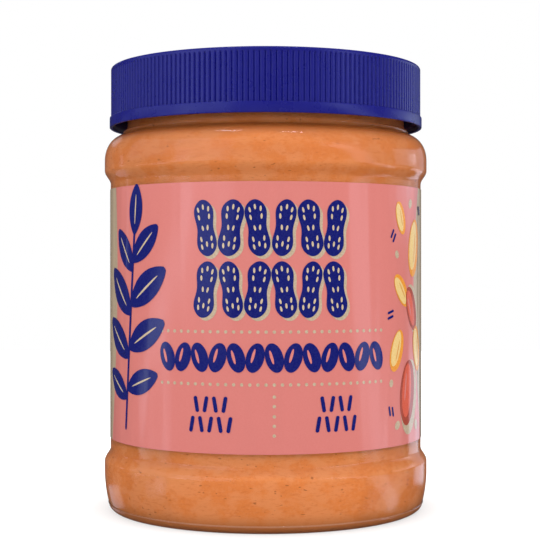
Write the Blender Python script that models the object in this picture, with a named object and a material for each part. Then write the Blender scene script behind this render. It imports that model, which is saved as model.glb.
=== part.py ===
"""A round screw-capped jar of peanut butter, standing upright.

Metres, +Z up. The origin is the middle of the foot, and the front of the label faces -Y.
The pieces are the clear jar, the peanut butter in it, a sleeve label round the recessed
panel, and a ribbed cap.
"""

import math

import bmesh
import bpy

MM = 0.001

# Driving dimensions
SIDES = 64  # sides of every turned piece
OUTSIDE_STEPS = 4  # points along each curve of the jar's outer side
INSIDE_STEPS = 2  # and of its inner side and what it holds
GAP = 0.3 * MM  # room left between pieces that touch
WALL = 0.8 * MM  # jar wall, base included
MERGE = 0.01 * MM

BODY_R = 37.46 * MM  # both bulges, the widest part
PANEL_R = 35.8 * MM  # recessed panel behind the label
PANEL_Z = (14.2 * MM, 74.9 * MM)
LOWER_BULGE_Z = (8.9 * MM, 11.0 * MM)
UPPER_BULGE_Z = (77.9 * MM, 80.0 * MM)

SHOULDER_R = 5.2 * MM  # the shoulder is a quarter of an ellipse, this wide
SHOULDER_H = 6.6 * MM  # and this high
SHOULDER_START = 78.0  # degrees up it where the bead hides the rest
NECK_WALL = 1.3 * MM
RIM_ROUND = 0.4 * MM
BEAD_R = 33.0 * MM  # small bead where the neck leaves the shoulder
BEAD_H = 0.5 * MM

SWEEP_R = 28.2 * MM  # slow inward curve under the lower bulge
SWEEP_ANGLE = 15.0  # degrees of it
HEEL_R = 1.8 * MM  # tight curve round the foot
FOOT_R = (32.6 * MM, 34.75 * MM)  # flat ring that the jar stands on
PUSH_UP_R = 27.0 * MM  # hollow in the base
PUSH_UP_H = 2.0 * MM
BASE_CROWN = 1.2 * MM  # how much higher its middle is

FILL_TOP = 97.0 * MM

LABEL_Z = (16.7 * MM, 73.6 * MM)
LABEL_THICK = 0.2 * MM

CAP_Z = (87.6 * MM, 101.75 * MM)
CAP_WALL = 1.15 * MM
CAP_TOP_THICK = 1.3 * MM
CAP_EDGE_ROUND = 0.5 * MM
BAND_H = 2.5 * MM  # smooth band below the ribs
BAND_R = 36.34 * MM
BAND_ROUND = 0.15 * MM
RIBS = 192
RIB_R = 36.03 * MM
RIB_DEPTH = 0.28 * MM
RIB_TOP_DROP = 0.85 * MM  # the ribs end this far below the top of the cap

# Worked out from those
NECK_R = BODY_R - SHOULDER_R
NECK_Z = UPPER_BULGE_Z[1] + SHOULDER_H
INNER_NECK_R = NECK_R - NECK_WALL
RIM_Z = CAP_Z[1] - CAP_TOP_THICK - GAP


def new_material(name, colour, roughness, transmission=0.0):
    """A Principled material of one colour, given in linear light."""
    material = bpy.data.materials.new(name)
    material.use_nodes = True
    shader = material.node_tree.nodes["Principled BSDF"]
    shader.inputs["Base Color"].default_value = (*colour, 1.0)
    shader.inputs["Roughness"].default_value = roughness
    shader.inputs["Metallic"].default_value = 0.0
    shader.inputs["Transmission Weight"].default_value = transmission
    return material


def arc(centre, radii, start, end, steps):
    """Points (radius, height) on an ellipse, from start to end degrees above outwards."""
    points = []
    for i in range(steps + 1):
        angle = math.radians(start + (end - start) * i / steps)
        across = centre[0] + radii[0] * math.cos(angle)
        up = centre[1] + radii[1] * math.sin(angle)
        points.append((across, up))
    return points


def eased(start, end, steps):
    """Pairs from start to end. The first number eases in and out, the second runs evenly."""
    pairs = []
    for i in range(steps + 1):
        share = i / steps
        ease = (1 - math.cos(math.pi * share)) / 2
        first = start[0] + (end[0] - start[0]) * ease
        second = start[1] + (end[1] - start[1]) * share
        pairs.append((first, second))
    return pairs


def shoulder(inset, start, steps):
    """The shoulder from start degrees down to the upper bulge, moved in by inset."""
    centre = (NECK_R, UPPER_BULGE_Z[1])
    return arc(centre, (SHOULDER_R - inset, SHOULDER_H - inset), start, 0, steps + 1)


def body_side(inset, steps):
    """The side from the upper bulge down to the foot ring, moved in by inset."""
    bulge = BODY_R - inset
    panel = PANEL_R - inset
    sweep_centre = (BODY_R - SWEEP_R, LOWER_BULGE_Z[0])
    heel_centre = (FOOT_R[1], HEEL_R)
    sweep = arc(sweep_centre, (SWEEP_R - inset,) * 2, 0, -SWEEP_ANGLE, steps // 2)
    return [
        *eased((bulge, UPPER_BULGE_Z[0]), (panel, PANEL_Z[1]), steps),
        *eased((panel, PANEL_Z[0]), (bulge, LOWER_BULGE_Z[1]), steps),
        *sweep[:-1],
        *arc(heel_centre, (HEEL_R - inset,) * 2, -SWEEP_ANGLE, -90, steps),
    ]


def base(inset, steps):
    """The base from the foot ring in to the axis, raised by inset."""
    rise = eased((inset, FOOT_R[0]), (PUSH_UP_H + inset, PUSH_UP_R), steps)
    crown = PUSH_UP_H + inset + BASE_CROWN
    return [
        *[(radius, height) for height, radius in rise],
        (PUSH_UP_R / 2, crown - BASE_CROWN / 4),
        (0.0, crown),
    ]


def jar_profile():
    """The jar's wall: from the axis up the inside, over the rim and down the outside."""
    inside = [
        (INNER_NECK_R, RIM_Z),
        (INNER_NECK_R, NECK_Z - WALL),
        *shoulder(WALL, 90, INSIDE_STEPS)[1:],
        *body_side(WALL, INSIDE_STEPS),
        *base(WALL, INSIDE_STEPS),
    ]
    bead_top = NECK_Z + BEAD_H
    outside = [
        (NECK_R - RIM_ROUND, RIM_Z),
        (NECK_R, RIM_Z - RIM_ROUND),
        (NECK_R, bead_top + BEAD_H / 2),
        (BEAD_R, bead_top),
        (BEAD_R, NECK_Z),
        *shoulder(0, SHOULDER_START, OUTSIDE_STEPS),
        *body_side(0, OUTSIDE_STEPS),
        *base(0, OUTSIDE_STEPS),
    ]
    return inside[::-1] + outside


def fill_profile():
    """The peanut butter: from the axis out across its top and down the side."""
    inset = WALL + GAP
    neck = INNER_NECK_R - GAP
    return [
        (0.0, FILL_TOP),
        (neck, FILL_TOP),
        (neck, NECK_Z - inset),
        *shoulder(inset, 90, INSIDE_STEPS)[1:],
        *body_side(inset, INSIDE_STEPS),
        *base(inset, INSIDE_STEPS),
    ]


def label_profile():
    """The label's thickness, as a closed loop that runs down its outer side."""
    inner = PANEL_R + GAP
    outer = inner + LABEL_THICK
    bottom, top = LABEL_Z
    return [(inner, bottom), (inner, top), (outer, top), (outer, bottom)]


def add_piece(name, mesh, material):
    """Puts a finished mesh in the scene as a piece of the jar."""
    mesh.materials.append(material)
    piece = bpy.data.objects.new(name, mesh)
    bpy.context.scene.collection.objects.link(piece)
    return piece


def turn(name, profile, material, closed=False):
    """A piece made by turning a profile of (radius, height) points about the Z axis."""
    edges = [(i, i + 1) for i in range(len(profile) - 1)]
    if closed:
        edges.append((len(profile) - 1, 0))
    mesh = bpy.data.meshes.new(name)
    mesh.from_pydata([(radius, 0.0, height) for radius, height in profile], edges, [])
    piece = add_piece(name, mesh, material)
    screw = piece.modifiers.new("Turn", "SCREW")
    screw.steps = screw.render_steps = SIDES
    screw.use_merge_vertices = True
    screw.merge_threshold = MERGE
    screw.use_smooth_shade = True
    return piece


def ring(shape, height, radii, sides=SIDES):
    """A ring of points at one height. Its radius steps through the radii given."""
    points = []
    for i in range(sides):
        angle = 2 * math.pi * i / sides
        radius = radii[i % len(radii)]
        place = (radius * math.cos(angle), radius * math.sin(angle), height)
        points.append(shape.verts.new(place))
    return points


def join_rings(shape, first, second):
    """Faces between two rings, where one has a whole number of sides for each of the other's."""
    steps = max(len(first), len(second))
    for i in range(steps):
        corners = []
        for points, order in ((first, (i, i + 1)), (second, (i + 1, i))):
            share = steps // len(points)
            for step in order:
                point = points[(step + share // 2) // share % len(points)]
                if point not in corners:
                    corners.append(point)
        shape.faces.new(corners)


def close_ring(shape, points, height):
    """A fan of faces from a ring to a point on the axis."""
    middle = shape.verts.new((0.0, 0.0, height))
    for i, point in enumerate(points):
        shape.faces.new((points[i - 1], point, middle))


def cap_rings(shape):
    """The cap's rings, from the flat of its top, down the outside and up the inside."""
    height = CAP_Z[1] - CAP_Z[0]
    edge_centre = (RIB_R - CAP_EDGE_ROUND, height - CAP_EDGE_ROUND)
    edge = arc(edge_centre, (CAP_EDGE_ROUND,) * 2, 90, 0, 3)
    rings = [ring(shape, up, (radius,)) for radius, up in edge]
    for up in (height - RIB_TOP_DROP, BAND_H):
        rings.append(ring(shape, up, (RIB_R, RIB_R - RIB_DEPTH), 2 * RIBS))
    inner = BAND_R - BAND_ROUND - CAP_WALL
    ceiling = height - CAP_TOP_THICK
    band = [
        (BAND_R - BAND_ROUND, BAND_H),
        (BAND_R, BAND_H - BAND_ROUND),
        (BAND_R, BAND_ROUND),
        (BAND_R - BAND_ROUND, 0.0),
        (inner, 0.0),
        (inner, ceiling - CAP_EDGE_ROUND),
        (inner - CAP_EDGE_ROUND, ceiling),
    ]
    rings += [ring(shape, up, (radius,)) for radius, up in band]
    return rings


def make_cap(material):
    """The cap, modelled from its own lower edge and set at that height."""
    shape = bmesh.new()
    rings = cap_rings(shape)
    for upper, lower in zip(rings, rings[1:]):
        join_rings(shape, upper, lower)
    close_ring(shape, rings[0], CAP_Z[1] - CAP_Z[0])
    close_ring(shape, rings[-1], CAP_Z[1] - CAP_Z[0] - CAP_TOP_THICK)
    bmesh.ops.recalc_face_normals(shape, faces=shape.faces)
    mesh = bpy.data.meshes.new("cap")
    shape.to_mesh(mesh)
    shape.free()
    mesh.shade_smooth()
    mesh.set_sharp_from_angle(angle=math.radians(30))
    cap = add_piece("cap", mesh, material)
    cap.location.z = CAP_Z[0]
    return cap


def clear_scene():
    for item in list(bpy.data.objects):
        bpy.data.objects.remove(item, do_unlink=True)


def main():
    clear_scene()
    clear = new_material("clear_plastic", (0.92, 0.90, 0.88), 0.08, transmission=0.9)
    spread = new_material("peanut_butter", (0.73, 0.24, 0.08), 0.45)
    paper = new_material("label_film", (0.74, 0.24, 0.21), 0.35)
    navy = new_material("navy_plastic", (0.015, 0.016, 0.19), 0.38)
    pieces = [
        turn("jar", jar_profile(), clear),
        turn("peanut_butter", fill_profile(), spread),
        turn("label", label_profile(), paper, closed=True),
        make_cap(navy),
    ]
    stand = bpy.data.objects.new("jar_stand", None)
    bpy.context.scene.collection.objects.link(stand)
    for piece in pieces:
        piece.parent = stand


main()
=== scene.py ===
# %% [markdown]
# # A jar of peanut butter
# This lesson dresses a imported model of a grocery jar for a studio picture. The model
# already has the true sizes, and it stays fixed. Every new piece is built round it, takes
# its sizes from it, and stands in for the plain solid of the same piece. The work goes
# from the camera and the lights to the clear wall, the spread, the label with its print,
# and at last the ribbed cap.

# %% Load the frame
import math

import bmesh
import bpy
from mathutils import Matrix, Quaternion, Vector


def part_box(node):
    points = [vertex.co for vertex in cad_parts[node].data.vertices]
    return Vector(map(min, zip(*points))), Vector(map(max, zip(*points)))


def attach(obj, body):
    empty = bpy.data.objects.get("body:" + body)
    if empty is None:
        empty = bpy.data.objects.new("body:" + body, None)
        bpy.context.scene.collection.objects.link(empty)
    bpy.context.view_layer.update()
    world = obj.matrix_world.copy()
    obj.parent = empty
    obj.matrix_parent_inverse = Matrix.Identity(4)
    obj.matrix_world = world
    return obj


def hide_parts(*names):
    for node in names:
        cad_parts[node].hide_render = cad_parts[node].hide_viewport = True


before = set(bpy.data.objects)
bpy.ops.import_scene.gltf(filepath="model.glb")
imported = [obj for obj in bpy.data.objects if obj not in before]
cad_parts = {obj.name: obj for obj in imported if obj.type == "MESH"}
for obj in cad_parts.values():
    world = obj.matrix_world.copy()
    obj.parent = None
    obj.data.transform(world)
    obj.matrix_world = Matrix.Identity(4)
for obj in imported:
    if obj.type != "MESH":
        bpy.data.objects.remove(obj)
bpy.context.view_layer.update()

MM = 0.001
print("nodes:", sorted(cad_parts))

# %% [markdown]
# ## The camera
# The photograph looks straight at the jar from near the height of its middle, with a long
# lens, so the cap's lower edge curves up and the foot curves down. A level camera keeps
# the jar's sides upright, as a product photographer wants. Its distance and lens were
# worked out from the curves of the label's two edges, which only one distance can give.

# %% Camera
CAMERA_DISTANCE = 316.8 * MM
CAMERA_HEIGHT = 55.1 * MM
CAMERA_SIDE = 1.0 * MM  # the jar stands a little left of the middle of the picture
LENS_MM = 90.06
SENSOR_MM = 36.0

camera_data = bpy.data.cameras.new("camera")
camera_data.lens = LENS_MM
camera_data.sensor_width = SENSOR_MM
camera_data.clip_start = 10 * MM
camera = bpy.data.objects.new("camera", camera_data)
camera.location = (CAMERA_SIDE, -CAMERA_DISTANCE, CAMERA_HEIGHT)
camera.rotation_euler = (math.radians(90), 0, 0)
bpy.context.scene.collection.objects.link(camera)
bpy.context.scene.camera = camera
print("camera at", [round(v / MM, 1) for v in camera.location], "mm")

# %% [markdown]
# ## Shader maths
# A pattern is easier to read as a formula than as a web of nodes. This small class wraps
# the output of a node and gives it Python's own operators, so that `1 - mask` adds the
# Math node for it. One method, `node`, makes every other kind of node. A material starts
# from `new_material`, which returns its shader and a wire that carries the place on the
# piece in metres.

# %% Shader maths
class Wire:
    """The output of a shader node. Sums and products of it add Math nodes."""

    def __init__(self, socket):
        self.socket = socket

    def node(self, kind, settings=(), output=0, **values):
        """Adds a node beside this one: first its settings, then the values or wires of its
        sockets, each by its name with _ for a space, or by _ and its number."""
        made = self.socket.id_data.nodes.new("ShaderNode" + kind)
        for name, value in dict(settings).items():
            setattr(made, name, value)
        for name, value in values.items():
            place = int(name[1:]) if name[0] == "_" else name.replace("_", " ")
            if isinstance(value, Wire):
                value.into(made, place)
            else:
                made.inputs[place].default_value = value
        return Wire(made.outputs[output])

    def into(self, node, place):
        """Links this wire to a socket of a node."""
        self.socket.id_data.links.new(self.socket, node.inputs[place])

    def math(self, operation, other=0.0):
        return self.node("Math", {"operation": operation}, _0=self, _1=other)

    def __add__(self, other):
        return self.math("ADD", other)

    def __sub__(self, other):
        return self.math("SUBTRACT", other)

    def __rsub__(self, other):
        return self.node("Math", {"operation": "SUBTRACT"}, _0=other, _1=self)

    def __mul__(self, other):
        return self.math("MULTIPLY", other)

    def __truediv__(self, other):
        return self.math("DIVIDE", other)

    __radd__ = __add__
    __rmul__ = __mul__

    def part(self, name):
        """The x, y or z of a vector."""
        return self.node("SeparateXYZ", output="xyz".index(name), Vector=self)

    def length(self):
        """The length of a vector."""
        return self.node("VectorMath", {"operation": "LENGTH"}, output=1, _0=self)

    def stretched(self, across, up):
        """This place with its sideways and upright measures multiplied."""
        return self.node("Mapping", Vector=self, Scale=(across, across, up))

    def noise(self, size, detail=2.0, rough=0.5):
        """Soft noise from 0 to 1 whose lumps are about size metres."""
        return self.node("TexNoise", Vector=self, Scale=1 / size, Detail=detail, Roughness=rough)

    def ramp(self, low, high):
        """0 below low and 1 above high, smooth between."""
        settings = {"interpolation_type": "SMOOTHSTEP"}
        return self.node("MapRange", settings, _0=self, _1=low, _2=high)

    def mixed(self, first, second):
        """The second colour where this wire is 1, and the first where it is 0."""
        return self.node("Mix", {"data_type": "RGBA"}, output=2, _0=self, _6=first, _7=second)

    def bump(self, depth):
        """A normal from this height, depth metres from 0 to 1."""
        return self.node("Bump", Height=self, Distance=depth, Strength=1.0)


def srgb(red, green, blue):
    """A paint program's colour, from 0 to 255, in the linear light that shaders use."""
    shares = [value / 255 for value in (red, green, blue)]
    linear = [((v + 0.055) / 1.055) ** 2.4 if v > 0.04045 else v / 12.92 for v in shares]
    return (*linear, 1.0)


def ray_kind(tree, name):
    """1 for one kind of ray, such as Is Camera Ray, and 0 for any other."""
    return Wire(tree.nodes.new("ShaderNodeLightPath").outputs[name])


def new_material(name, **values):
    """A Principled shader with plain values on its own sockets, and the place as a wire."""
    material = bpy.data.materials.new(name)
    material.use_nodes = True
    shader = material.node_tree.nodes["Principled BSDF"]
    for socket, value in values.items():
        shader.inputs[socket.replace("_", " ")].default_value = value
    place = Wire(material.node_tree.nodes.new("ShaderNodeTexCoord").outputs["Object"])
    return material, shader, place


print("shader maths ready")

# %% [markdown]
# ## Lights
# The jar stands in a white studio. A camera sees white all round, but the shiny label and
# cap would look milky if all that white were mirrored in them. So the room is white to the
# camera alone, dim as a light and dimmer still in a reflection, and soft boxes do the rest.
# Six large ones only light the jar and show in no reflection. The others are only there to
# be mirrored: their edges draw the upright streaks on the label and pick out the curves of
# the clear wall. Where each one stands was worked out backwards, from the place on the jar
# where the photograph shows its reflection.

# %% Lights
JAR_MIDDLE = Vector((0, 0, CAMERA_HEIGHT))
BOX_DISTANCE = 0.9
ROOM_GLOW = 0.3  # how bright the room is as a light
ROOM_MIRRORED = 0.06  # and how bright it is in a reflection
COOL = (0.72, 0.82, 1.0)

world = bpy.data.worlds.new("studio")
bpy.context.scene.world = world
world.use_nodes = True
background = world.node_tree.nodes["Background"]
background.inputs["Color"].default_value = (1, 1, 1, 1)
seen = ray_kind(world.node_tree, "Is Camera Ray")
mirrored = ray_kind(world.node_tree, "Is Glossy Ray")
strength = seen * (1 - ROOM_GLOW) - mirrored * (ROOM_GLOW - ROOM_MIRRORED) + ROOM_GLOW
strength.into(background, "Strength")
bpy.context.scene.view_settings.view_transform = "Standard"


def soft_box(name, around, up, size, glow, lean=0, mirrored=True):
    """A rectangular light aimed at the jar's middle. around is in degrees from the camera
    towards the right, and glow is how bright the box looks, where 1 is white paper. A
    mirrored box only shows in shiny faces, and any other one only lights."""
    data = bpy.data.lights.new(name, "AREA")
    data.shape = "RECTANGLE"
    data.size, data.size_y = size
    data.energy = glow * math.pi * size[0] * size[1]
    data.color = COOL if mirrored else (1, 1, 1)
    box = bpy.data.objects.new(name, data)
    turn, rise = math.radians(around), math.radians(up)
    level = math.cos(rise)
    direction = Vector((math.sin(turn) * level, -math.cos(turn) * level, math.sin(rise)))
    box.location = JAR_MIDDLE + direction * BOX_DISTANCE
    facing = direction.to_track_quat("Z", "Y") @ Quaternion((0, 0, 1), math.radians(lean))
    box.rotation_euler = facing.to_euler()
    box.visible_camera = False
    box.visible_diffuse = not mirrored
    box.visible_glossy = mirrored
    bpy.context.scene.collection.objects.link(box)


# The boxes that light
soft_box("overhead", 0, 88, (1.8, 1.2), 1.5, mirrored=False)
soft_box("front_high", 0, 50, (1.8, 0.6), 1.4, mirrored=False)
soft_box("front_low", 0, 4, (1.4, 0.34), 1.95, mirrored=False)
soft_box("left_fill", -80, 25, (0.8, 0.8), 1.35, mirrored=False)
soft_box("right_fill", 80, 25, (0.8, 0.8), 1.5, mirrored=False)
soft_box("back_fill", 180, 25, (1.4, 0.9), 1.4, mirrored=False)

# The boxes that are mirrored at the left
soft_box("left_wide", -44, 18, (0.66, 0.68), 0.85)
soft_box("left_peak", -57, 8, (0.2, 0.16), 0.6)
soft_box("left_side", -87, 20, (0.72, 0.48), 0.5)
soft_box("left_streak", -78, -2.3, (0.05, 0.8), 1.7, lean=-77)
soft_box("left_foot", -76, -9, (0.14, 0.2), 1.0)
soft_box("left_thin", -119, 3.5, (0.05, 0.13), 1.1)
soft_box("left_back", -147, 20, (0.26, 0.14), 0.55)
soft_box("left_low", -137, -18.5, (0.38, 0.14), 0.6)
soft_box("left_patch", -82, -14, (0.25, 0.14), 0.6)

# The boxes that are mirrored at the right
soft_box("right_wide", 76, -2.3, (0.16, 1.3), 1.4, lean=51)
soft_box("right_mid", 115, 8.5, (0.46, 0.2), 0.8)
soft_box("right_patch", 123.5, 6.8, (0.2, 0.07), 0.9)
soft_box("right_under", 92, -20, (0.5, 0.24), 0.6)
soft_box("right_bulge", 104, -9.5, (0.46, 0.14), 0.45)
soft_box("right_soft", 54, 20, (0.5, 0.26), 0.5)
soft_box("right_back", 138, 0, (0.36, 0.45), 0.6)
soft_box("right_low", 138, -9, (0.36, 0.14), 0.9)

# Two small bright ones, mirrored as thin lines at the top of the shoulder
soft_box("left_top", -52, 70, (0.2, 0.05), 12.0)
soft_box("right_top", 30, 64, (0.14, 0.05), 14.0)

# %% [markdown]
# ## The floor
# Under soft light a pale table shows little more than a faint dark rim where the jar stands
# on it. So the floor is a plain plane that glows by itself, less near the jar and fully
# white away from it: the dimmer glow near the jar is painted shade, laid under the real
# contact shadow. As a light it is dim, like the room. It is kept out of reflections,
# where its far edge would draw a line across the clear wall.

# %% Floor
FLOOR_HALF = 0.6
FLOOR_GREY = (0.34, 0.34, 0.34, 1)
FLOOR_GRAIN = (0.36, 0.36, 0.36, 1)
TABLE_SEEN = 0.55  # how bright the floor looks close to the jar
TABLE_GLOW = 0.35  # and how bright it is as a light
# painted shade: the floor's glow is dimmer near the jar and fades to full white between these
SHADE_INNER_R = 35 * MM  # the dark rim fades out between these two distances from the axis
SHADE_OUTER_R = 56 * MM


def deselect_all():
    for item in bpy.context.selected_objects:
        item.select_set(False)


deselect_all()
bpy.ops.mesh.primitive_plane_add(size=2 * FLOOR_HALF, location=(0, 0, 0))
floor = bpy.context.object
floor.name = "floor"
floor_paint, floor_shader, place = new_material(
    "pale_floor",
    Roughness=0.9,
    Specular_IOR_Level=0.1,
    Emission_Strength=1.0,
)
place.noise(30 * MM).mixed(FLOOR_GREY, FLOOR_GRAIN).into(floor_shader, "Base Color")
seen = ray_kind(floor_paint.node_tree, "Is Camera Ray")
# the glow seen near the jar is dimmed, a painted shade beside the real contact shadow
white = place.length().ramp(SHADE_INNER_R, SHADE_OUTER_R) * (1 - TABLE_SEEN) + TABLE_SEEN
(seen * (white - TABLE_GLOW) + TABLE_GLOW).into(floor_shader, "Emission Color")
floor.data.materials.append(floor_paint)
floor.visible_glossy = False
print("floor", floor.dimensions[:])

# %% [markdown]
# ## Turning a piece
# Jar, spread and cap are all round, so each starts as a circle. The circle is pulled up
# ring by ring: every step extrudes its edge to the next height and scales it to the next
# radius, as one would by hand. Spinning a drawn section would do too, but rings keep the
# poles tidy and let the cap's grooves be picked out afterwards.

# %% Modelling helpers
ROUND_SIDES = 192
WELD = 0.001 * MM  # points closer than this are made one


def arc(centre, radii, start, end, steps, fullness=1.0):
    """Points (radius, height) on an ellipse, from start to end degrees above outwards. A
    fullness below 1 makes the corner squarer, which works from 0 to 90 degrees only."""
    points = []
    for i in range(steps + 1):
        angle = math.radians(start + (end - start) * i / steps)
        across, up = math.cos(angle), math.sin(angle)
        if fullness != 1.0:
            across, up = max(across, 0.0) ** fullness, max(up, 0.0) ** fullness
        points.append((centre[0] + radii[0] * across, centre[1] + radii[1] * up))
    return points


def eased(start, end, steps):
    """Points from start to end, where the radius eases in and out and the height runs evenly."""
    points = []
    for i in range(steps + 1):
        share = i / steps
        ease = (1 - math.cos(math.pi * share)) / 2
        radius = start[0] + (end[0] - start[0]) * ease
        points.append((radius, start[1] + (end[1] - start[1]) * share))
    return points


def pick(wanted):
    """In edit mode, selects only the points whose place passes the test."""
    bpy.ops.mesh.select_all(action="DESELECT")
    shape = bmesh.from_edit_mesh(bpy.context.object.data)
    for point in shape.verts:
        point.select = bool(wanted(point.co))
    shape.select_flush(True)
    bmesh.update_edit_mesh(bpy.context.object.data)


def turned(name, outline, sides=ROUND_SIDES):
    """A closed turned piece, pulled up ring by ring from a circle along (radius, height) points."""
    deselect_all()
    radius, height = outline[0]
    bpy.ops.mesh.primitive_circle_add(vertices=sides, radius=radius, location=(0, 0, height))
    piece = bpy.context.object
    piece.name = piece.data.name = name
    bpy.ops.object.transform_apply()
    bpy.ops.object.mode_set(mode="EDIT")
    for next_radius, next_height in outline[1:]:
        rise = (0, 0, next_height - height)
        bpy.ops.mesh.extrude_edges_move(TRANSFORM_OT_translate={"value": rise})
        grow = next_radius / radius
        bpy.ops.transform.resize(value=(grow, grow, 1), center_override=(0, 0, next_height))
        radius, height = next_radius, next_height
    bpy.ops.mesh.select_all(action="SELECT")
    bpy.ops.mesh.remove_doubles(threshold=WELD)
    bpy.ops.mesh.select_all(action="DESELECT")
    bpy.ops.mesh.select_non_manifold()
    bpy.ops.mesh.fill_holes(sides=0)
    bpy.ops.mesh.select_all(action="SELECT")
    bpy.ops.mesh.normals_make_consistent(inside=False)
    bpy.ops.object.mode_set(mode="OBJECT")
    print(name, "turned from", len(outline), "rings of", sides, "points")
    return piece


def finish_piece(piece, material, slot, *stands_for, crease=35):
    """Shades the piece, paints it, and lets it ride and stand for its CAD nodes."""
    deselect_all()
    piece.select_set(True)
    bpy.context.view_layer.objects.active = piece
    bpy.ops.object.shade_smooth_by_angle(angle=math.radians(crease))
    piece.data.materials.clear()
    piece.data.materials.append(material)
    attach(piece, "root")
    if stands_for:
        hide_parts(*stands_for)
    print(piece.name, "has", len(piece.data.polygons), "faces")


print("modelling helpers ready")

# %% [markdown]
# ## The clear wall
# The jar is blown from clear plastic: a foot ring, two bulges that guard the label, a
# recessed panel for it, a round shoulder, and a neck that goes up into the cap. Its
# outline is a chain of arcs and soft steps, and the same chain moved in by the wall's
# thickness gives its inner face. So one function makes both, and the spread as well.

# %% Jar outline
jar_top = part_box("jar")[1].z
BODY_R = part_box("jar")[1].x
INK_ROOM = 0.08 * MM  # the ink lies on the film and stays inside the solid label's radius
LABEL_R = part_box("label")[1].x - INK_ROOM
LABEL_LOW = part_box("label")[0].z
LABEL_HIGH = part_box("label")[1].z
LABEL_THICK = 0.1 * MM
LABEL_GAP = 0.02 * MM
PANEL_R = LABEL_R - LABEL_THICK - LABEL_GAP
PANEL_LOW = LABEL_LOW - 2.5 * MM
PANEL_HIGH = LABEL_HIGH + 1.3 * MM
STEP_H = 3.1 * MM  # from the panel out to a bulge
BULGE_H = 2.1 * MM
SHOULDER_R = 5.2 * MM
SHOULDER_H = 6.1 * MM
SHOULDER_FULLNESS = 0.91
NECK_R = BODY_R - SHOULDER_R
SWEEP_R = 28.2 * MM  # the side draws in gently from the lower bulge to the heel
SWEEP_END = -15
RIDGE = 0.18 * MM  # a fine ridge runs round the jar over its heel
RIDGE_SUNK = 0.05 * MM
RIDGE_SPAN = 75
HEEL_R = 1.8 * MM
FOOT_R = 34.75 * MM
FOOT_WIDTH = 2.15 * MM
PUSH_UP_R = 27.0 * MM  # the base is pushed up inside the foot ring, and domed
PUSH_UP_H = 2.0 * MM
DOME_SHARE = 0.6
DOME_LOW = 0.8 * MM
DOME_HIGH = 1.2 * MM
AXIS_HOLE = 0.4 * MM

lower_bulge = (PANEL_LOW - STEP_H - BULGE_H, PANEL_LOW - STEP_H)
upper_bulge = (PANEL_HIGH + STEP_H, PANEL_HIGH + STEP_H + BULGE_H)
neck_z = upper_bulge[1] + SHOULDER_H


def body(inset, shoulder_start):
    """The body's side, moved in by inset, from shoulder_start degrees up the shoulder down
    to the middle of the base."""
    bulge, panel = BODY_R - inset, PANEL_R - inset
    shoulder = (SHOULDER_R - inset, SHOULDER_H - inset)
    sweep = arc((BODY_R - SWEEP_R, lower_bulge[0]), (SWEEP_R - inset,) * 2, 0, SWEEP_END, 16)
    edge, height = sweep[-1]
    ridge = []
    if inset == 0:
        ridge = arc((edge - RIDGE_SUNK, height), (RIDGE, RIDGE), RIDGE_SPAN, -RIDGE_SPAN, 6)
    crown = PUSH_UP_H + inset
    rise = eased((inset, FOOT_R - FOOT_WIDTH), (crown, PUSH_UP_R), 10)
    return [
        *arc((NECK_R, upper_bulge[1]), shoulder, shoulder_start, 0, 20, SHOULDER_FULLNESS),
        *eased((bulge, upper_bulge[0]), (panel, PANEL_HIGH), 12),
        *eased((panel, PANEL_LOW), (bulge, lower_bulge[1]), 12),
        *sweep[:-1],
        *ridge,
        *arc((FOOT_R, HEEL_R), (HEEL_R - inset,) * 2, SWEEP_END, -90, 8),
        *[(radius, height) for height, radius in rise],
        (PUSH_UP_R * DOME_SHARE, crown + DOME_LOW),
        (AXIS_HOLE, crown + DOME_HIGH),
    ]


print("bulges at", [round(z / MM, 1) for z in (*lower_bulge, *upper_bulge)], "mm")

# %% [markdown]
# The wall is a closed shell, so its outline runs up the inner face, over the rim and down
# the outer one. Only the outer face has the bead at the foot of the neck, and it is drawn
# as a small arc, because a thin bright line of light lies on it.

# %% Jar wall
WALL = 0.8 * MM
NECK_WALL = 1.3 * MM
RIM_ROUND = 0.4 * MM
BEAD_R = NECK_R + 0.95 * MM
BEAD_TOP = neck_z + 1.05 * MM
BEAD_ROUND = 0.5 * MM
BEAD_UNDERSIDE = ((0.2, 0.15), (0.45, 0.0))  # mm in from its edge and up from the shoulder
SHOULDER_INSIDE, SHOULDER_OUTSIDE = 88, 82

inner_neck = NECK_R - NECK_WALL
bead_centre = (BEAD_R - BEAD_ROUND, BEAD_TOP - BEAD_ROUND)
inner_face = [(inner_neck, jar_top), (inner_neck, neck_z - WALL), *body(WALL, SHOULDER_INSIDE)]
outer_face = [
    (NECK_R - RIM_ROUND, jar_top),
    (NECK_R - RIM_ROUND / 4, jar_top - RIM_ROUND / 4),
    (NECK_R, jar_top - RIM_ROUND),
    (NECK_R, BEAD_TOP + 0.1 * MM),
    *arc(bead_centre, (BEAD_ROUND, BEAD_ROUND), 85, -20, 10),
    *[(BEAD_R - inwards * MM, neck_z + up * MM) for inwards, up in BEAD_UNDERSIDE],
    *body(0, SHOULDER_OUTSIDE),
]
jar_wall = turned("jar_wall", inner_face[::-1] + outer_face)

# %% [markdown]
# Clear plastic bends what is behind it, so the spread seems to reach the outline. Lamps
# can't find their way through a bending wall without very long renders, so for shadow
# rays alone the wall is plain see-through. Faint waves from blowing the bottle and a
# little roughness keep its highlights from looking like glass.

# %% Clear plastic
WAVE_SIZE = 12 * MM
WAVE_DEPTH = 0.06 * MM
HAZE_SIZE = 20 * MM
CLEAR = (1, 1, 1, 1)
HAZY = (0.97, 0.98, 0.97, 1)

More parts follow.
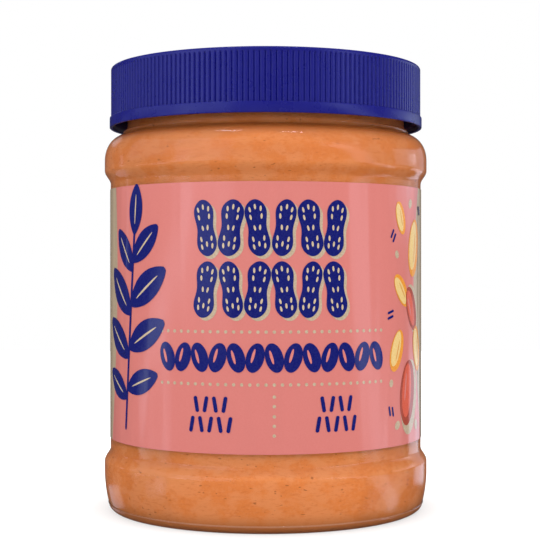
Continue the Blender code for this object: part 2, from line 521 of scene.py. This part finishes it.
clear, shader, place = new_material("clear_plastic", Transmission_Weight=1.0, IOR=1.45)
waves = place.stretched(1, 0.6).noise(WAVE_SIZE, detail=1.0)
waves.bump(WAVE_DEPTH).into(shader, "Normal")
(0.1 + waves * 0.08).into(shader, "Roughness")
place.noise(HAZE_SIZE).mixed(CLEAR, HAZY).into(shader, "Base Color")
is_shadow = ray_kind(clear.node_tree, "Is Shadow Ray")
open_way = is_shadow.node("BsdfTransparent", Color=CLEAR)
glass = Wire(shader.outputs[0])
both = is_shadow.node("MixShader", _0=is_shadow, _1=glass, _2=open_way)
both.into(clear.node_tree.nodes["Material Output"], "Surface")
finish_piece(jar_wall, clear, "clear_plastic", "jar")

# %% [markdown]
# ## The spread
# Peanut butter fills the jar and clings to the wall, so its surface is the jar's outline
# moved in. It reaches a little way into the wall and doesn't just touch it, because a gap
# of air there would show as a silvery skin.

# %% Spread
REACH = 0.2 * MM  # how far the spread reaches into the wall
SPREAD_ROUND = 1.0 * MM

spread_inset = WALL - REACH
spread_neck = inner_neck + REACH
spread_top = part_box("peanut_butter")[1].z
spread_outline = [
    (AXIS_HOLE, spread_top),
    (spread_neck - SPREAD_ROUND, spread_top),
    (spread_neck, spread_top - SPREAD_ROUND),
    (spread_neck, neck_z - spread_inset),
    *body(spread_inset, SHOULDER_INSIDE),
]
spread = turned("spread", spread_outline)

# %% [markdown]
# Ground nuts are uneven: broad paler and darker patches, fine grain, and small dark flecks
# of skin that were smeared sideways as the jar filled. Each is a noise of its own size,
# laid over the last. Light and shade are painted over them too. The colour is a little
# darker from the upper bulge up, and darker still under the cap, where its shadow falls,
# and round the foot, where the thick clear heel darkens the spread: all painted shade. One
# thin pale line round the foot is a painted highlight, as the wall is too thin here to do it.

# %% Spread colour
SPREAD_MAIN = srgb(219, 130, 63)
SPREAD_PALE = srgb(222, 142, 84)
SPREAD_DARK = srgb(203, 114, 54)
FOOT_PAINTED_SHADE = srgb(160, 92, 44)
SPREAD_SHADE = srgb(176, 98, 46)
FOOT_PAINTED_HIGHLIGHT = srgb(214, 184, 166)
FLECK = srgb(120, 54, 22)
PATCH_SIZE = 6 * MM
SMEAR_SIZE = 1.6 * MM
FLECK_SIZE = 1.3 * MM
GRAIN_SIZE = 0.7 * MM
GRAIN_DEPTH = 0.05 * MM
TOP_PAINTED_SHADE = (76, 80)  # heights in mm, each the start and end of a soft change
SHADE_STARTS, SHADE_ENDS = (83.2, 85.2), (85.8, 86.5)
FOOT_SHADE_FADES = (0, 4.6)
HIGHLIGHT_STARTS, HIGHLIGHT_ENDS = (1.4, 1.5), (1.64, 1.74)


def above(height, change):
    """0 below a soft change at two heights in mm, and 1 above it."""
    return height.ramp(change[0] * MM, change[1] * MM)


paste, shader, place = new_material("peanut_butter", Specular_IOR_Level=0.2)
patches = place.stretched(1, 1.4).noise(PATCH_SIZE, detail=4.0, rough=0.6)
grain = place.noise(GRAIN_SIZE, detail=3.0, rough=0.7)
smears = place.stretched(1, 3.5).noise(SMEAR_SIZE, detail=3.0, rough=0.6)
flecks = place.stretched(1, 2.2).noise(FLECK_SIZE, detail=1.0).ramp(0.7, 0.8)
tint = patches.ramp(0.42, 0.58).mixed(SPREAD_MAIN, SPREAD_PALE)
tint = (smears.ramp(0.48, 0.72) * 0.55).mixed(tint, SPREAD_DARK)
tint = (grain.ramp(0.45, 0.7) * 0.5).mixed(tint, SPREAD_PALE)
tint = (flecks * 0.6).mixed(tint, FLECK)

height = place.part("z")
# painted shade: the spread is a little darker from the upper bulge up
tint = (above(height, TOP_PAINTED_SHADE) * 0.25).mixed(tint, SPREAD_DARK)
# painted shade under the cap, where the cap's shadow falls on the shoulder
shade = above(height, SHADE_STARTS) * (1 - above(height, SHADE_ENDS))
tint = (shade * 0.8).mixed(tint, SPREAD_SHADE)
# painted shade round the foot, where the thick clear heel darkens the spread
tint = above(height, FOOT_SHADE_FADES).mixed(FOOT_PAINTED_SHADE, tint)
# painted highlight: one thin pale line round the foot
line = above(height, HIGHLIGHT_STARTS) * (1 - above(height, HIGHLIGHT_ENDS))
tint = (line * 0.25).mixed(tint, FOOT_PAINTED_HIGHLIGHT)
tint.into(shader, "Base Color")
(0.4 + grain * 0.2).into(shader, "Roughness")
grain.bump(GRAIN_DEPTH).into(shader, "Normal")
finish_piece(spread, paste, "peanut_butter", "peanut_butter")

# %% [markdown]
# ## The label
# A printed film is wrapped once round the recessed panel. It is a thin sleeve here, made
# like the other round pieces, but with more sides, so that its edges and the print on it
# look truly round.

# %% Label sleeve
LABEL_SIDES = 360

inner_label = LABEL_R - LABEL_THICK
label_outline = [
    (inner_label, LABEL_LOW),
    (inner_label, LABEL_HIGH),
    (LABEL_R, LABEL_HIGH),
    (LABEL_R, LABEL_LOW),
    (inner_label, LABEL_LOW),
]
label = turned("label_film", label_outline, sides=LABEL_SIDES)

# %% [markdown]
# Its ground colours are a pink field and cream side panels whose edges curve, and they
# come from a formula on the angle round the jar and the height. Paint by formula keeps
# those long edges sharp with no extra faces. The film is taut but not perfect: faint
# upright ripples break the reflections of the soft boxes into streaks.

# %% Label colours
PINK = srgb(204, 118, 111)
PINK_GRAIN = srgb(208, 124, 117)
CREAM = srgb(172, 153, 127)
CREAM_GRAIN = srgb(189, 168, 144)
NAVY = srgb(9, 16, 98)
RIPPLE_SIZE = 5 * MM
RIPPLE_DEPTH = 0.4 * MM
SPECKLE_SIZE = 0.35 * MM
DESIGN_ANGLE = 3.0  # degrees right of the camera, where the design has its middle
EDGE_SOFT = 0.15  # degrees over which the field's edge changes colour

# Each edge of the field: its angle at the waist, its bow, and the waist's height in mm
LEFT_EDGE, LEFT_BOW, LEFT_WAIST = -66.0, 0.005, 55.0
RIGHT_EDGE, RIGHT_BOW, RIGHT_WAIST = 66.0, 0.0108, 50.0


def film_material(name, colour_of):
    """Printed film. colour_of makes its colour from the place on the piece and a speckle."""
    material, shader, place = new_material(name, Specular_IOR_Level=0.5)
    ripples = place.stretched(1, 0.06).noise(RIPPLE_SIZE, detail=1.0)
    speckle = place.noise(SPECKLE_SIZE, detail=2.0, rough=0.7)
    colour_of(place, speckle).into(shader, "Base Color")
    (0.12 + speckle * 0.06).into(shader, "Roughness")
    ripples.bump(RIPPLE_DEPTH).into(shader, "Normal")
    return material


def label_ground(place, speckle):
    """The pink field between curved edges, with cream beyond them."""
    angle = place.part("x").math("ARCTAN2", place.part("y") * -1.0) * math.degrees(1)
    height = place.part("z") / MM
    left = height - LEFT_WAIST
    left = left * left * -LEFT_BOW + LEFT_EDGE
    right = height - RIGHT_WAIST
    right = right * right * RIGHT_BOW + RIGHT_EDGE
    inside_left = (angle - left).ramp(-EDGE_SOFT, EDGE_SOFT)
    inside_right = (right - angle).ramp(-EDGE_SOFT, EDGE_SOFT)
    pink = (speckle.ramp(0.3, 0.7) * 0.4).mixed(PINK, PINK_GRAIN)
    cream = (speckle.ramp(0.3, 0.7) * 0.5).mixed(CREAM, CREAM_GRAIN)
    return (inside_left * inside_right).mixed(cream, pink)


finish_piece(label, film_material("label_film", label_ground), "label_film", "label")

# %% [markdown]
# ## Printed shapes
# The print is flat ink, so each shape is drawn flat, facing the camera, and bent round
# the jar at the end. Every kind of shape is modelled once from a circle. Its points are
# picked by their place and pulled, some with a soft reach that takes their neighbours
# along, which gives a waist or a pointed tip in one move.

# %% Blank shapes
def blank(points, width, height):
    """A filled oval, drawn upright round the origin, still in edit mode."""
    deselect_all()
    bpy.ops.mesh.primitive_circle_add(
        vertices=points, radius=0.5, fill_type="NGON", rotation=(math.radians(90), 0, 0)
    )
    bpy.context.object.scale = (width, height, 1)
    bpy.ops.object.transform_apply()
    bpy.ops.object.mode_set(mode="EDIT")


def pull(wanted, by=(0, 0, 0), scale=(1, 1, 1), reach=None, fall="SMOOTH"):
    """Moves and scales the picked points and, with a reach, softly, what lies near them."""
    pick(wanted)
    soft = {}
    if reach:
        soft = dict(
            use_proportional_edit=True, proportional_size=reach, proportional_edit_falloff=fall
        )
    if scale != (1, 1, 1):
        bpy.ops.transform.resize(value=scale, center_override=(0, 0, 0), **soft)
    if by != (0, 0, 0):
        bpy.ops.transform.translate(value=by, **soft)


def done():
    bpy.ops.object.mode_set(mode="OBJECT")
    return bpy.context.object


def pod():
    """A peanut in its shell, 1 high: two round lobes and a waist."""
    waist_width, waist_reach = 0.62, 0.42
    blank(64, 0.52, 1.0)
    pull(lambda p: abs(p.z) < 0.03, scale=(waist_width, 1, 1), reach=waist_reach)
    return done()


def oval(width):
    blank(32, width, 1.0)
    return done()


def leaf():
    """A leaf, 1 high, pointed at both ends."""
    height, tip, tip_reach = 0.84, 0.08, 0.24
    blank(40, 0.46, height)
    pull(lambda p: p.z > height / 2 - 0.01, by=(0, 0, tip), reach=tip_reach, fall="SHARP")
    pull(lambda p: p.z < 0.01 - height / 2, by=(0, 0, -tip), reach=tip_reach, fall="SHARP")
    return done()


def bar(length):
    """A stroke 1 wide with round ends, length high."""
    blank(24, 1.0, 1.0)
    half = (length - 1) / 2
    pull(lambda p: p.z > 0.01, by=(0, 0, half))
    pull(lambda p: p.z < -0.01, by=(0, 0, -half))
    return done()


def sheet():
    """A plain square of film, 1 wide and 1 high."""
    deselect_all()
    bpy.ops.mesh.primitive_plane_add(size=1, rotation=(math.radians(90), 0, 0))
    bpy.ops.object.transform_apply()
    return bpy.context.object


shapes = {
    "lap": sheet(),
    "pod": pod(),
    "kernel": oval(0.6),
    "half": oval(0.44),
    "dot": oval(1.0),
    "mark": oval(0.4),
    "leaf": leaf(),
    "stroke": bar(4.0),
    "stem": bar(26.0),
}
print("blank shapes:", len(shapes))

# %% [markdown]
# The blanks are used as stamps, and each print of one is a copy with its own mesh. The
# prints lie on sheets, one for each ink, as a printer would lay them. A list for each ink
# keeps its prints together until they are joined.

# %% Stamps
sheets = {}  # ink name: the stamps printed in it


def stamp(name, ink, right, up, size, turn=0.0, wide=1.0):
    """Prints a shape, right mm from the middle of the design and up mm above the floor.
    Turns are in degrees towards the right."""
    copy = shapes[name].copy()
    copy.data = shapes[name].data.copy()
    copy.scale = (size * wide * MM, MM, size * MM)
    copy.rotation_euler = (0, math.radians(turn), 0)
    copy.location = (right * MM, 0, up * MM)
    bpy.context.scene.collection.objects.link(copy)
    sheets.setdefault(ink, []).append(copy)


def beside(right, up, turn, across, along):
    """The place across and along a shape at (right, up) that is turned by turn degrees."""
    lean = math.radians(turn)
    x = right + across * math.cos(lean) + along * math.sin(lean)
    z = up + along * math.cos(lean) - across * math.sin(lean)
    return x, z


print("stamping helpers ready")

# %% [markdown]
# The front of the label has a bold block of pods in two rows, each pod with a pale shadow
# to the right and below, as if it stood off the film. Dimples follow the pod's waist. No
# two neighbours lean or swell alike, as in a handful of real pods.

# %% Pods
PODS = 6  # in a row
POD_ROWS = (63.9, 51.0)
POD_PITCH = 5.6
POD_HEIGHT = 11.9
POD_LEAN = 7
POD_VARIES = 0.05  # in width, as a share
SHADOW = (0.65, -0.6)
BLOCK_SHIFT = -0.7  # the block stands a little left, to leave room for its shadow
DIMPLE = 1.15
DIMPLE_LEAN = 8
DIMPLE_LIFT = 0.5  # the middle one of three stands higher
DIMPLE_ROWS = (  # mm above the pod's middle, mm from its axis, and the dimples in the row
    (-3.9, 1.15, (-1, 0, 1)),
    (-2.3, 1.15, (-1, 1)),
    (0.0, 0.55, (-1, 1)),
    (2.3, 1.15, (-1, 1)),
    (3.9, 1.15, (-1, 0, 1)),
)


def printed_pod(right, up, turn, wide, shadow="cream"):
    """A navy pod with its shadow and dimples."""
    stamp("pod", shadow, right + SHADOW[0], up + SHADOW[1], POD_HEIGHT, turn, wide)
    stamp("pod", "navy", right, up, POD_HEIGHT, turn, wide)
    for level, out, sides in DIMPLE_ROWS:
        for side in sides:
            lift = 0 if side else DIMPLE_LIFT
            x, z = beside(right, up, turn, side * out, level + lift)
            stamp("mark", "pale", x, z, DIMPLE, turn + side * DIMPLE_LEAN)


for row, up in enumerate(POD_ROWS):
    for i in range(PODS):
        right = BLOCK_SHIFT + (i - (PODS - 1) / 2) * POD_PITCH
        turn = POD_LEAN if (i + row) % 2 else -POD_LEAN
        printed_pod(right, up, turn, 1.0 + POD_VARIES * ((i * 2 + row) % 3 - 1))
print("pods:", PODS * len(POD_ROWS))

# %% [markdown]
# Under the pods come two dotted rules with a row of kernels between them, and two small
# blocks of strokes on either side of a dotted line. The back repeats such rows, so each
# kind has a function.

# %% Rules and rows
DOT = 0.72
DOT_PITCH = 1.7
RULE_HEIGHTS = (42.2, 31.2)
RULE_DOTS = 31
DIVIDER_DOTS = (20.6, 22.6, 24.6, 26.7, 28.7)
KERNEL_ROW = 36.8
KERNELS = 13
KERNEL = 6.3
KERNEL_PITCH = 4.0
KERNEL_LEAN = 16
SHINE = 3.0  # the long highlight on a kernel
SHINE_SHIFT = (-0.5, 0.3)
STROKE_PITCH = 2.1
STROKE_LEAN = 10
STROKE_WIDTH = 0.85
STROKE_ROWS = ((27.0, 4), (22.8, 5))  # height and number of strokes
BLOCK_MIDDLE = 13.6


def dotted_rule(middle, up, count, ink):
    for i in range(count):
        stamp("dot", ink, middle + (i - (count - 1) / 2) * DOT_PITCH, up, DOT)


def kernel_row(middle, up, count, inks, shine_ink):
    """Kernels that lean by turns to the left and to the right, in turns of ink too."""
    for i in range(count):
        right = middle + (i - (count - 1) / 2) * KERNEL_PITCH
        turn = KERNEL_LEAN if i % 2 else -KERNEL_LEAN
        stamp("kernel", inks[i % len(inks)], right, up, KERNEL, turn)
        stamp("mark", shine_ink, *beside(right, up, turn, *SHINE_SHIFT), SHINE, turn, 0.5)


def stroke_row(middle, up, count, row, width):
    """Short strokes that lean by turns, the other way round in every second row."""
    for i in range(count):
        turn = STROKE_LEAN if (i + row) % 2 else -STROKE_LEAN
        stamp("stroke", "navy", middle + (i - (count - 1) / 2) * STROKE_PITCH, up, width, turn)


for up in RULE_HEIGHTS:
    dotted_rule(0, up, RULE_DOTS, "cream")
for up in DIVIDER_DOTS:
    stamp("dot", "cream", 0, up, DOT)
kernel_row(0, KERNEL_ROW, KERNELS, ("navy",), "field")
for side in (-1, 1):
    for row, (up, count) in enumerate(STROKE_ROWS):
        stroke_row(side * BLOCK_MIDDLE, up, count, row, STROKE_WIDTH)
print("stamps so far:", {ink: len(copies) for ink, copies in sheets.items()})

# %% [markdown]
# The left side has a leafy sprig in one colour. Its leaves stand in pairs on a stem, and
# each is placed from the stem outwards, with a thin pale vein.

# %% Sprig
STEM_FOOT = (-38.5, 20.0)
STEM_LEAN = 5
STEM_WIDTH = 1.7
STEM_MIDDLE = 22
LEAF_PAIRS = ((8, 11.5, 66), (17, 13.5, 58), (26.5, 14.0, 50), (36, 11.5, 42))
VEIN_SHARE = 0.62
VEIN_WIDE = 0.14
TIP_ALONG, TIP_LEAF, TIP_VEIN = 48.5, 11, 6.5


def printed_leaf(right, up, size, turn, vein):
    stamp("leaf", "navy", right, up, size, turn)
    stamp("mark", "pale", right, up, vein, turn, VEIN_WIDE)


stem = beside(*STEM_FOOT, STEM_LEAN, 0, STEM_MIDDLE)
stamp("stem", "navy", *stem, STEM_WIDTH, STEM_LEAN, 0.45)
for along, size, leaf_turn in LEAF_PAIRS:
    for side in (-1, 1):
        foot = beside(*STEM_FOOT, STEM_LEAN, 0, along + side)
        turn = STEM_LEAN + side * leaf_turn
        printed_leaf(*beside(*foot, turn, 0, size / 2), size, turn, size * VEIN_SHARE)
printed_leaf(*beside(*STEM_FOOT, STEM_LEAN, 0, TIP_ALONG), TIP_LEAF, STEM_LEAN, TIP_VEIN)
print("leaves:", 2 * len(LEAF_PAIRS) + 1)

# %% [markdown]
# The right side has loose kernels, whole and split, in warm inks. Each is a pile of
# smaller and paler shapes, a little off its middle, which makes its top look round. Crumbs
# and short ticks between them make them look as if they fell.

# %% Loose kernels
SPLIT_KERNELS = (  # right, up, size and turn
    (32.8, 66.5, 7.5, -18),
    (39.8, 60.0, 13.0, 10),
    (33.2, 50.6, 8.5, -38),
    (31.2, 37.5, 9.5, 20),
    (42.0, 37.5, 10.5, -12),
)
RED_KERNELS = ((38.4, 46.5, 10.5, -24), (36.2, 28.0, 14.5, 8))
SPLIT_LAYERS = (  # shape, ink, shift across and along and size as shares, and width
    ("half", "amber", 0, 0, 1.0, 1.15),
    ("half", "butter", -0.05, 0.03, 0.84, 0.9),
    ("mark", "gold", 0.02, 0, 0.5, 0.2),
)
RED_LAYERS = (
    ("half", "cream", 0.08, -0.06, 1.15, 1.2),
    ("half", "brown", 0, 0, 1.0, 1.15),
    ("half", "rose", -0.04, 0.03, 0.82, 0.85),
    ("mark", "field", -0.1, 0.08, 0.42, 0.28),
)
CRUMBS = (
    (37.6, 69.8, 2.2, 30),
    (31.2, 58.5, 1.8, -20),
    (29.0, 30.5, 1.7, 10),
    (31.4, 21.2, 2.2, 50),
    (41.4, 20.5, 2.6, -30),
)
CRUMB_WIDE = 1.3
TICKS = ((29.4, 63.0, 30), (28.8, 46.0, 74), (28.4, 24.5, -12), (43.5, 68.5, -20))
TICK_WIDTH = 0.55
TICK_SHIFT = (1.1, -0.4)


def layered(kernels, layers):
    """Prints each kernel as a pile of layers."""
    for right, up, size, turn in kernels:
        for name, ink, across, along, share, wide in layers:
            x, z = beside(right, up, turn, across * size, along * size)
            stamp(name, ink, x, z, size * share, turn, wide)


layered(SPLIT_KERNELS, SPLIT_LAYERS)
layered(RED_KERNELS, RED_LAYERS)
for right, up, size, turn in CRUMBS:
    stamp("kernel", "cream", right, up, size, turn, CRUMB_WIDE)
for right, up, turn in TICKS:
    stamp("stroke", "navy", right, up, TICK_WIDTH, turn)
    stamp("stroke", "navy", *beside(right, up, turn, *TICK_SHIFT), TICK_WIDTH, turn)
print("loose kernels:", len(SPLIT_KERNELS) + len(RED_KERNELS))

# %% [markdown]
# The back can't be seen in the photograph, so it is finished plainly in the same manner: a
# few pods between dotted rules on the cream ground, a row of kernels, and the lap where the
# end of the film lies over its beginning.

# %% Back of the label
BACK_MIDDLES = (-85.0, 85.0)
BACK_PODS = 60.0
BACK_RULES = (69.5, 50.0, 31.2)
BACK_DOTS = 23
BACK_KERNEL_ROW = 40.6
BACK_KERNELS = 9
BACK_STROKE_ROWS = (26.6, 22.4)
BACK_STROKES = 15
BACK_STROKE_WIDTH = 0.75
LAP_MIDDLE = 109.0
LAP_WIDTH = 6.0
label_middle = (LABEL_LOW + LABEL_HIGH) / 2 / MM
label_height = (LABEL_HIGH - LABEL_LOW) / MM - 0.02

for middle in BACK_MIDDLES:
    for i in range(PODS):
        turn = POD_LEAN if i % 2 else -POD_LEAN
        right = middle + (i - (PODS - 1) / 2) * POD_PITCH
        printed_pod(right, BACK_PODS, turn, 1.0, shadow="amber")
    for up in BACK_RULES:
        dotted_rule(middle, up, BACK_DOTS, "field")
    kernel_row(middle, BACK_KERNEL_ROW, BACK_KERNELS, ("amber", "brown"), "butter")
    for row, up in enumerate(BACK_STROKE_ROWS):
        stroke_row(middle, up, BACK_STROKES, row, BACK_STROKE_WIDTH)
stamp("lap", "film", LAP_MIDDLE, label_middle, label_height, 0.0, LAP_WIDTH / label_height)
print("stamps in all:", sum(len(copies) for copies in sheets.values()))

# %% [markdown]
# Wide shapes would cut straight through the curve of the jar, so a sheet is first cut into
# narrow upright strips. It is then given the thickness of ink and bent. Each point keeps
# its height, and its distance from the middle becomes an angle round the jar. Every sheet
# lies a skin higher than those it is printed over, so that no two inks fight for a place.

# %% Print the label
INK_THICK = 0.015 * MM
INK_STEP = 0.02 * MM
STRIP = 1.2 * MM
SHEET_HALF = 113 * MM
INK_CREASE = 60
INKS = {  # ink name: its level, its colour and the colour of its speckle
    "film": (1, srgb(187, 168, 143), srgb(196, 178, 153)),
    "cream": (2, CREAM, srgb(193, 172, 148)),
    "amber": (3, srgb(218, 134, 36), srgb(226, 154, 64)),
    "brown": (3, srgb(150, 56, 40), srgb(164, 72, 50)),
    "navy": (4, NAVY, srgb(24, 31, 106)),
    "rose": (4, srgb(204, 82, 60), srgb(210, 98, 74)),
    "pale": (5, srgb(188, 167, 139), srgb(199, 180, 152)),
    "butter": (5, srgb(220, 184, 112), srgb(226, 196, 134)),
    "field": (5, PINK, PINK_GRAIN),
    "gold": (6, srgb(206, 140, 66), srgb(214, 156, 88)),
}


def print_sheet(ink, level, colour, second):
    """Joins one ink's stamps and wraps them round the label."""
    deselect_all()
    for copy in sheets[ink]:
        copy.select_set(True)
    bpy.context.view_layer.objects.active = sheets[ink][0]
    bpy.ops.object.join()
    piece = bpy.context.object
    piece.name = piece.data.name = "print_" + ink
    bpy.ops.object.transform_apply()
    bpy.ops.object.mode_set(mode="EDIT")
    cuts = int(SHEET_HALF / STRIP)
    for cut in range(-cuts, cuts + 1):
        bpy.ops.mesh.select_all(action="SELECT")
        bpy.ops.mesh.bisect(plane_co=(cut * STRIP, 0, 0), plane_no=(1, 0, 0))
    bpy.ops.object.mode_set(mode="OBJECT")
    skin = piece.modifiers.new("skin", "SOLIDIFY")
    skin.thickness = INK_THICK
    skin.offset = -1
    bpy.ops.object.modifier_apply(modifier=skin.name)
    for point in piece.data.vertices:
        radius = LABEL_R + level * INK_STEP - point.co.y
        angle = point.co.x / LABEL_R + math.radians(DESIGN_ANGLE)
        point.co = (radius * math.sin(angle), -radius * math.cos(angle), point.co.z)
    material = film_material(
        "ink_" + ink, lambda place, speckle: speckle.ramp(0.3, 0.7).mixed(colour, second)
    )
    finish_piece(piece, material, "label_film", crease=INK_CREASE)


for ink, (level, colour, second) in INKS.items():
    print_sheet(ink, level, colour, second)
for shape in shapes.values():
    bpy.data.objects.remove(shape)
print("inks printed:", len(INKS))

# %% [markdown]
# ## The cap
# The cap is one moulding: a top with a soft edge, fine ribs for the fingers, and a smooth
# band that stands a little proud. It is turned like the jar, but with a dozen sides to
# every rib, because the grooves between the ribs need points of their own. Its skirt is
# thinner at its open end, so that it slips over the neck.

# %% Cap body
cap_low, cap_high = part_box("cap")
CAP_TOP = cap_high.z
CAP_BOTTOM = cap_low.z + 0.3 * MM
BAND_R = cap_high.x
BAND_TOP = CAP_BOTTOM + 2.4 * MM
BAND_EDGE = 0.18 * MM
RIBS = 192
SIDES_PER_RIB = 12
RIB_R = BAND_R - 0.31 * MM
CORNER = 0.5 * MM
CEILING = CAP_TOP - 1.3 * MM
INSIDE_R = RIB_R - 1.05 * MM
MOUTH_R = BAND_R - 0.7 * MM
MOUTH_HEIGHTS = (0.1 * MM, 0.8 * MM, 1.8 * MM)  # edge, end of the thin part, and full wall
DISH = 0.25 * MM  # the middle of the top lies this much lower than its rim
DISH_STEP = ((4.0, 0.25), (3.6, 0.2), (3.0, 0.0))  # mm in from the ribs and below the rim
GROOVE_TOP = CAP_TOP - 0.85 * MM
GROOVE_FOOT = BAND_TOP + 0.01 * MM
groove_rows = [GROOVE_TOP - drop * MM for drop in (0.0, 0.12, 0.28, 0.5)]

dish_foot, slope_start, slope_end = [
    (RIB_R - inwards * MM, CAP_TOP - drop * MM) for inwards, drop in DISH_STEP
]
cap_outline = [
    (AXIS_HOLE, CAP_TOP - DISH),
    dish_foot,
    *eased(slope_start, slope_end, 3),
    *arc((RIB_R - CORNER, CAP_TOP - CORNER), (CORNER, CORNER), 90, 0, 5),
    *[(RIB_R, z) for z in groove_rows],
    (RIB_R, GROOVE_FOOT),
    *arc((BAND_R - BAND_EDGE, BAND_TOP - BAND_EDGE), (BAND_EDGE, BAND_EDGE), 90, 0, 4),
    *arc((BAND_R - BAND_EDGE, CAP_BOTTOM + BAND_EDGE), (BAND_EDGE, BAND_EDGE), 0, -90, 4),
    (MOUTH_R, CAP_BOTTOM + MOUTH_HEIGHTS[0]),
    (MOUTH_R, CAP_BOTTOM + MOUTH_HEIGHTS[1]),
    (INSIDE_R, CAP_BOTTOM + MOUTH_HEIGHTS[2]),
    (INSIDE_R, CEILING - CORNER),
    (INSIDE_R - CORNER, CEILING),
    (AXIS_HOLE, CEILING),
]
cap = turned("ribbed_cap", cap_outline, sides=RIBS * SIDES_PER_RIB)

# %% [markdown]
# The grooves are pressed in. The points of a row that lie the same number of sides from
# the middle of a groove are picked all round the cap and drawn towards the axis together,
# most in the middle and hardly at its edges. The upper rows are pressed less, so that a
# groove runs out softly under the cap's edge.

# %% Press the grooves
GROOVE_DEPTH = 0.3 * MM
PRESS = {0: 1.0, 1: 0.66, 2: 0.2, 3: 0.05, 4: 0.01}  # share of the depth, by sides from the middle
ROW_PRESS = (0.0, 0.45, 0.85, 1.0)
NEAR_ROW = 0.004 * MM
NEAR_WALL = 0.01 * MM


def in_groove(point, z, side):
    """Whether a point lies in the row at height z, this many sides from a groove's middle."""
    if abs(point.z - z) >= NEAR_ROW or abs(point.xy.length - RIB_R) >= NEAR_WALL:
        return False
    turn = math.atan2(point.y, point.x) / (2 * math.pi) * RIBS
    return round(abs(turn - round(turn)) * SIDES_PER_RIB) == side


bpy.context.view_layer.objects.active = cap
bpy.ops.object.mode_set(mode="EDIT")
rows = [(z, press) for z, press in zip(groove_rows, ROW_PRESS) if press]
for z, row_press in [*rows, (GROOVE_FOOT, 1.0)]:
    for side, side_press in PRESS.items():
        squeeze = 1 - GROOVE_DEPTH * row_press * side_press / RIB_R
        pick(lambda p: in_groove(p, z, side))
        bpy.ops.transform.resize(value=(squeeze, squeeze, 1), center_override=(0, 0, z))
bpy.ops.object.mode_set(mode="OBJECT")
print("grooves pressed:", RIBS)

# %% [markdown]
# Moulded plastic is coloured right through, with a slight mottle and a satin face. Inside
# the cap nothing shines: the hollow is rougher, or its reflections would lighten the dark
# gap round the neck. The distance from the axis and the height tell it from the outside.

# %% Cap plastic
CAP_NAVY = srgb(11, 12, 109)
CAP_MOTTLE = srgb(17, 18, 117)
MOTTLE_SIZE = 4 * MM
SATIN_SIZE = 0.2 * MM
SATIN_DEPTH = 0.008 * MM

navy, shader, place = new_material("navy_plastic", Specular_IOR_Level=0.5)
mottle = place.noise(MOTTLE_SIZE, detail=3.0)
mottle.mixed(CAP_NAVY, CAP_MOTTLE).into(shader, "Base Color")
off_axis = place.stretched(1, 0).length()
under = 1 - place.part("z").ramp(CEILING, CAP_TOP - 0.3 * MM)
hollow = (1 - off_axis.ramp(INSIDE_R + 0.1 * MM, RIB_R - GROOVE_DEPTH)) * under
(0.22 + mottle * 0.12 + hollow * 0.6).into(shader, "Roughness")
place.noise(SATIN_SIZE).bump(SATIN_DEPTH).into(shader, "Normal")
finish_piece(cap, navy, "navy_plastic", "cap", crease=40)
